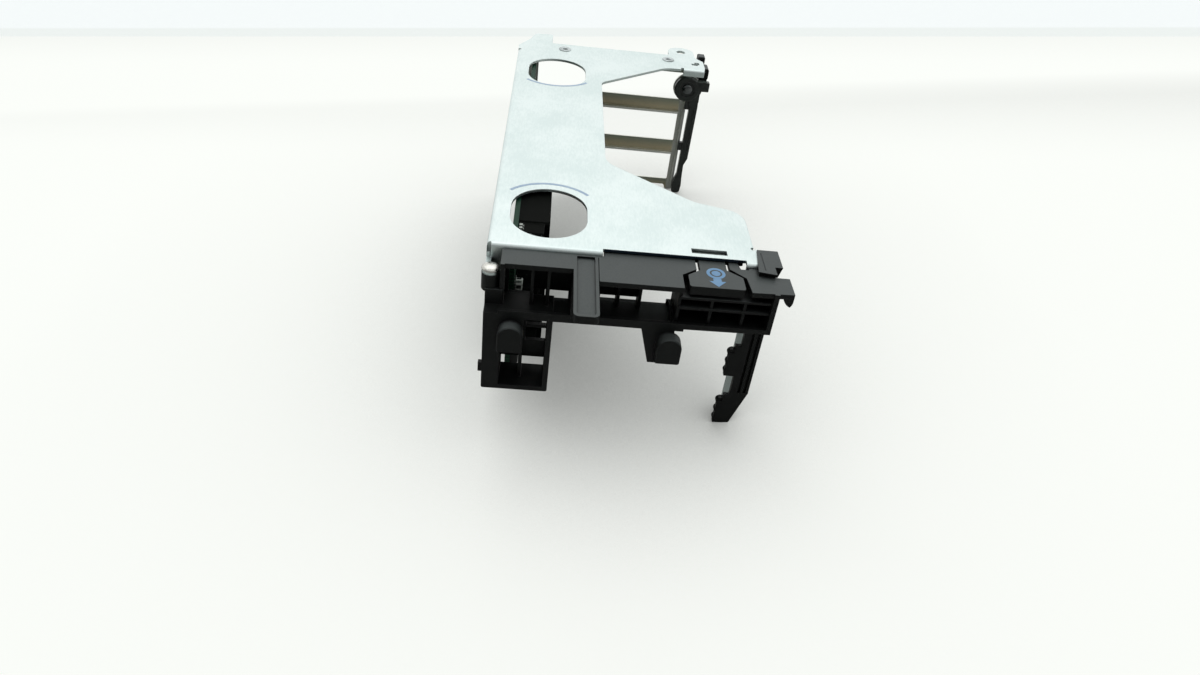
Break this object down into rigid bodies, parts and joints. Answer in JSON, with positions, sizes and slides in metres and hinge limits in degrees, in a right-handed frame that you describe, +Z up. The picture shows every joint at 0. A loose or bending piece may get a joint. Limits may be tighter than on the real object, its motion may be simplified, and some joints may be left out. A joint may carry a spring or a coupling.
{
  "type": "riser cage bracket",
  "caption": "Folded sheet-metal riser cage with a moulded front carrier and latch, stacked card slots, a card guide and a swinging slot retainer.",
  "frame": {"origin": "middle of the whole outline in X and Y, on the lowest point, which is the riser board's plug edge", "axes": "+X to the side where cards leave the slots, +Y to the rear bracket, +Z up from the plug edge to the top plate"},
  "size_m": [0.0896, 0.2156, 0.0733],
  "materials": {
    "galvanised_steel": "galvanised, fine rolled grain",
    "bracket_steel": "galvanised",
    "rivet_steel": "pressed",
    "black_moulding": "fine matt moulding",
    "screw_steel": "bright plated",
    "pin_steel": "dark polished",
    "board_laminate": "green solder mask",
    "can_metal": "bright can",
    "component_body": "moulded",
    "connector_body": "matt moulding"
  },
  "bodies": {
    "cage": {"top_plate": "galvanised_steel", "rear_bracket": "bracket_steel", "bracket_rivets": "rivet_steel", "front_carrier": "black_moulding", "carrier_screw": "screw_steel", "card_guide": "black_moulding", "retainer_pin": "pin_steel", "retainer_stop": "black_moulding", "riser_board": "board_laminate", "board_standoffs": "screw_steel", "board_screws": "screw_steel", "can_capacitor": "can_metal", "block_capacitors": "component_body", "buffer_chip": "component_body", "slot_connector_upper": "connector_body", "slot_connector_middle": "connector_body", "slot_connector_lower": "connector_body"},
    "retainer": {"slot_retainer": "black_moulding"},
    "latch": {"release_latch": "black_moulding"}
  },
  "joints": [
    {"name": "retainer_swing", "type": "hinge", "parent": "cage", "child": "retainer", "pos_m": [0.03277, 0.08982, 0.0606], "axis": [0, -1, 0], "range_deg": [0, 60]},
    {"name": "latch_slide", "type": "slide", "parent": "cage", "child": "latch", "axis": [0, -1, 0], "range_m": [0, 0.0025], "stiffness_N_per_m": 400}
  ]
}
